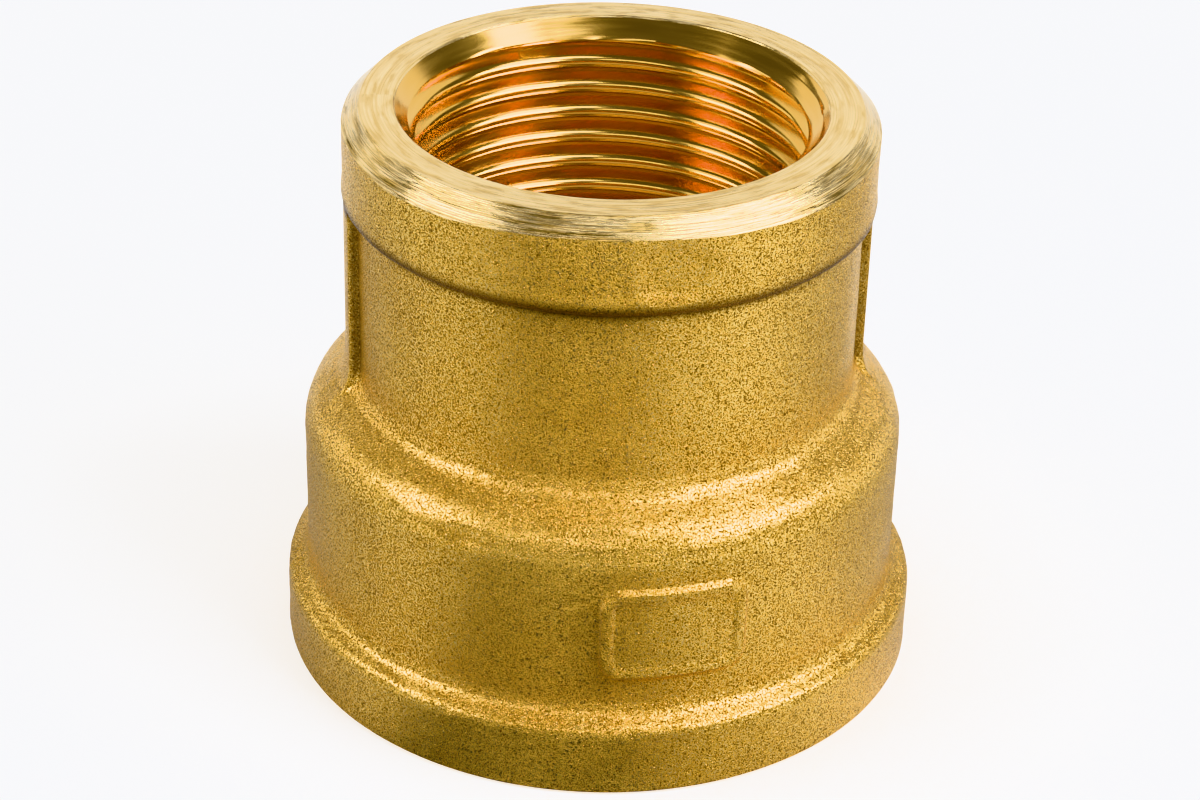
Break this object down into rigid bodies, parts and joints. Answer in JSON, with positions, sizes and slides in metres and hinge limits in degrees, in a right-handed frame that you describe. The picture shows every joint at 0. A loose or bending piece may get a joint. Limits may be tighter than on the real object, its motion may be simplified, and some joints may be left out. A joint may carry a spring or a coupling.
{
  "type": "reducing coupling",
  "caption": "Cast brass reducing coupling with a wide and a narrow internal pipe thread, a flange at the wide end and a bead at the narrow end.",
  "frame": {"origin": "centre of the large end's face", "axes": "+Z along the bore, from the large end to the small end; the ribs lie 7 degrees round from +X and -X"},
  "size_m": [0.042, 0.042, 0.038],
  "materials": {
    "brass": "blasted casting outside, turned and threaded ends"
  },
  "bodies": {
    "root": {"coupling_body": "brass"}
  },
  "joints": []
}
